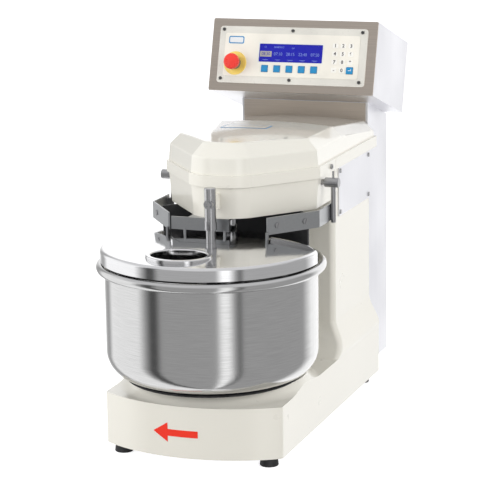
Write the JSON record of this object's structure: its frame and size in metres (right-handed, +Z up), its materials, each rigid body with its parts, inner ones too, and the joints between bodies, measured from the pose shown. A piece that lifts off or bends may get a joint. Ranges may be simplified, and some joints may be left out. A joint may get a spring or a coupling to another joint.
{
  "type": "tabletop spiral dough mixer",
  "caption": "Tabletop spiral dough mixer: turning steel bowl with hinged lid, spiral hook and fixed bar under a cream head, tilted control console on a steel cabinet.",
  "frame": {"origin": "on the table, in the middle of the machine's footprint", "axes": "+Z up, +Y to the back, +X to the machine's right seen from the front; the console and the bowl's front face -Y"},
  "size_m": [0.388, 0.8467, 0.6753],
  "materials": {
    "cream_paint": "semi-gloss enamel",
    "cream_gloss": "glossy moulded cover",
    "brushed_stainless": "fine brushed",
    "polished_stainless": "polished, faint brush lines",
    "mirror_stainless": "mirror polished",
    "bronzed_steel": "brushed, brownish",
    "zinc_steel": "zinc plated",
    "bearing_steel": "ground",
    "pulley_alloy": "turned",
    "motor_grey": "satin",
    "belt_rubber": "matt",
    "black_rubber": "matt",
    "black_plastic": "matt",
    "charcoal_plastic": "satin",
    "grey_plastic": "satin",
    "yellow_plastic": "gloss",
    "red_plastic": "gloss",
    "membrane_cream": "printed foil",
    "display_blue": "gloss, lit from behind",
    "key_blue": "gloss",
    "key_white": "printed foil",
    "board_green": "satin"
  },
  "bodies": {
    "machine": {"bar_bracket": "brushed_stainless", "base_casting": "cream_paint", "base_plate": "zinc_steel", "bowl_bearings": "bearing_steel", "bowl_belt": "belt_rubber", "bowl_gearmotor": "motor_grey", "breaker_bar": "polished_stainless", "breaker_bar_screw": "zinc_steel", "breaker_bar_sleeve": "brushed_stainless", "breaker_bar_spacer": "cream_paint", "console_front": "bronzed_steel", "console_shell": "brushed_stainless", "control_board": "board_green", "display_window": "display_blue", "fixed_lid": "mirror_stainless", "head_bolts": "zinc_steel", "head_cover": "cream_gloss", "head_flange": "cream_paint", "head_housing": "cream_paint", "keypad_membrane": "membrane_cream", "lid_axle": "zinc_steel", "neck_panel": "bronzed_steel", "number_keys": "key_white", "panel_plate": "brushed_stainless", "panel_screws": "zinc_steel", "power_inlet": "black_plastic", "rear_cabinet": "brushed_stainless", "rear_guard": "charcoal_plastic", "rubber_feet": "black_rubber", "side_plate_screws": "zinc_steel", "side_plates": "brushed_stainless", "spiral_bearings": "bearing_steel", "spiral_belt": "belt_rubber", "spiral_motor": "motor_grey", "stop_collar": "grey_plastic", "stop_ring": "yellow_plastic"},
    "bowl_group": {"bowl": "polished_stainless", "turntable": "black_plastic", "bowl_shaft": "zinc_steel", "bowl_pulley": "pulley_alloy"},
    "spiral_group": {"spiral_hook": "polished_stainless", "spiral_pulley": "pulley_alloy"},
    "lid_group": {"bowl_lid": "mirror_stainless", "lid_lip": "mirror_stainless", "filling_collar": "mirror_stainless", "lever_arm_left": "brushed_stainless", "lever_arm_right": "brushed_stainless", "flat_bar_left": "brushed_stainless", "flat_bar_right": "brushed_stainless", "flat_bar_screws": "zinc_steel"},
    "bowl_drive_group": {"bowl_drive_pulley": "pulley_alloy"},
    "spiral_drive_group": {"spiral_drive_pulley": "pulley_alloy"},
    "stop_button": {"stop_mushroom": "red_plastic"},
    "key_1": {"function_key_1": "key_blue"},
    "key_2": {"function_key_2": "key_blue"},
    "key_3": {"function_key_3": "key_blue"},
    "key_4": {"function_key_4": "key_blue"},
    "key_5": {"function_key_5": "key_blue"},
    "key_enter": {"enter_key": "key_blue"}
  },
  "joints": [
    {"name": "bowl_spin", "type": "hinge", "parent": "machine", "child": "bowl_group", "pos_m": [0, -0.2294, 0.2], "axis": [0, 0, 1], "continuous": true},
    {"name": "spiral_spin", "type": "hinge", "parent": "machine", "child": "spiral_group", "pos_m": [0, -0.1344, 0.4], "axis": [0, 0, 1], "continuous": true},
    {"name": "lid_hinge", "type": "hinge", "parent": "machine", "child": "lid_group", "pos_m": [0, -0.0464, 0.427], "axis": [-1, 0, 0], "range_deg": [0, 70]},
    {"name": "stop_press", "type": "slide", "parent": "machine", "child": "stop_button", "axis": [0, 0.9568, -0.2907], "range_m": [0, 0.004], "stiffness_N_per_m": 900},
    {"name": "enter_key_press", "type": "slide", "parent": "machine", "child": "key_enter", "axis": [0, 0.9568, -0.2907], "range_m": [0, 0.0008], "stiffness_N_per_m": 900},
    {"name": "function_key_1_press", "type": "slide", "parent": "machine", "child": "key_1", "axis": [0, 0.9568, -0.2907], "range_m": [0, 0.0008], "stiffness_N_per_m": 900},
    {"name": "function_key_2_press", "type": "slide", "parent": "machine", "child": "key_2", "axis": [0, 0.9568, -0.2907], "range_m": [0, 0.0008], "stiffness_N_per_m": 900},
    {"name": "function_key_3_press", "type": "slide", "parent": "machine", "child": "key_3", "axis": [0, 0.9568, -0.2907], "range_m": [0, 0.0008], "stiffness_N_per_m": 900},
    {"name": "function_key_4_press", "type": "slide", "parent": "machine", "child": "key_4", "axis": [0, 0.9568, -0.2907], "range_m": [0, 0.0008], "stiffness_N_per_m": 900},
    {"name": "function_key_5_press", "type": "slide", "parent": "machine", "child": "key_5", "axis": [0, 0.9568, -0.2907], "range_m": [0, 0.0008], "stiffness_N_per_m": 900},
    {"name": "bowl_drive_spin", "type": "hinge", "parent": "machine", "child": "bowl_drive_group", "pos_m": [0, 0.1006, 0.04], "axis": [0, 0, 1], "continuous": true},
    {"name": "spiral_drive_spin", "type": "hinge", "parent": "machine", "child": "spiral_drive_group", "pos_m": [0, 0.1266, 0.46], "axis": [0, 0, 1], "continuous": true}
  ],
  "couplings": [
    {"joint": "bowl_drive_spin", "follows": "bowl_spin", "ratio": 4.375},
    {"joint": "spiral_drive_spin", "follows": "spiral_spin", "ratio": 2.1667}
  ]
}
